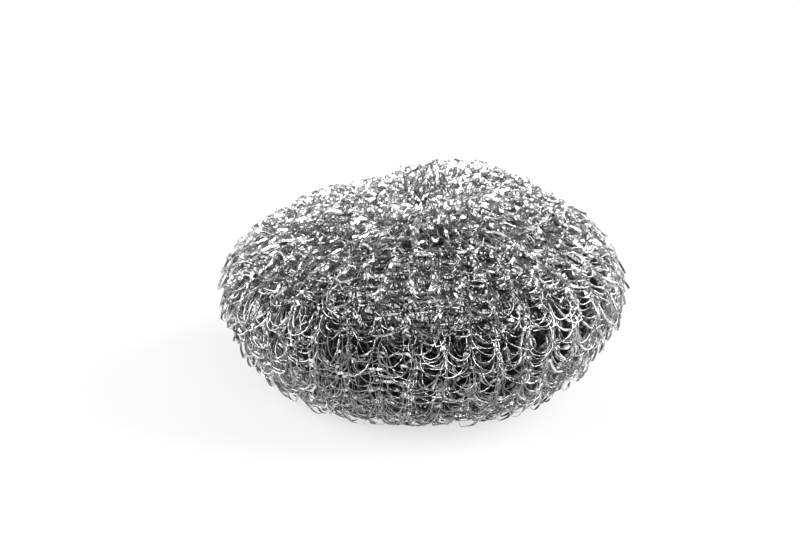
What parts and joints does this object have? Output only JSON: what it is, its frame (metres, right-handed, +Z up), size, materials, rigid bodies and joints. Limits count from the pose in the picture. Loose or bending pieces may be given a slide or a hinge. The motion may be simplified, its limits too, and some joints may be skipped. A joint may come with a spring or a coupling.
{
  "type": "knitted steel scouring pad",
  "caption": "Soft bun-shaped scouring pad knitted from one galvanised flat wire, turned over on itself, for scrubbing pots and bench tools.",
  "frame": {"origin": "on the table that the pad stands on, under the middle of the pad's box", "axes": "+Z up out of the gathered crown, +X to the right as the picture shows the pad, +Y away from the viewer"},
  "size_m": [0.0982, 0.098, 0.0504],
  "materials": {
    "galvanised_flat_wire": "bright zinc over rolled flat steel wire, with sharp glints on the flat faces"
  },
  "bodies": {
    "root": {"knitted_wire_pad": "galvanised_flat_wire"}
  },
  "joints": []
}
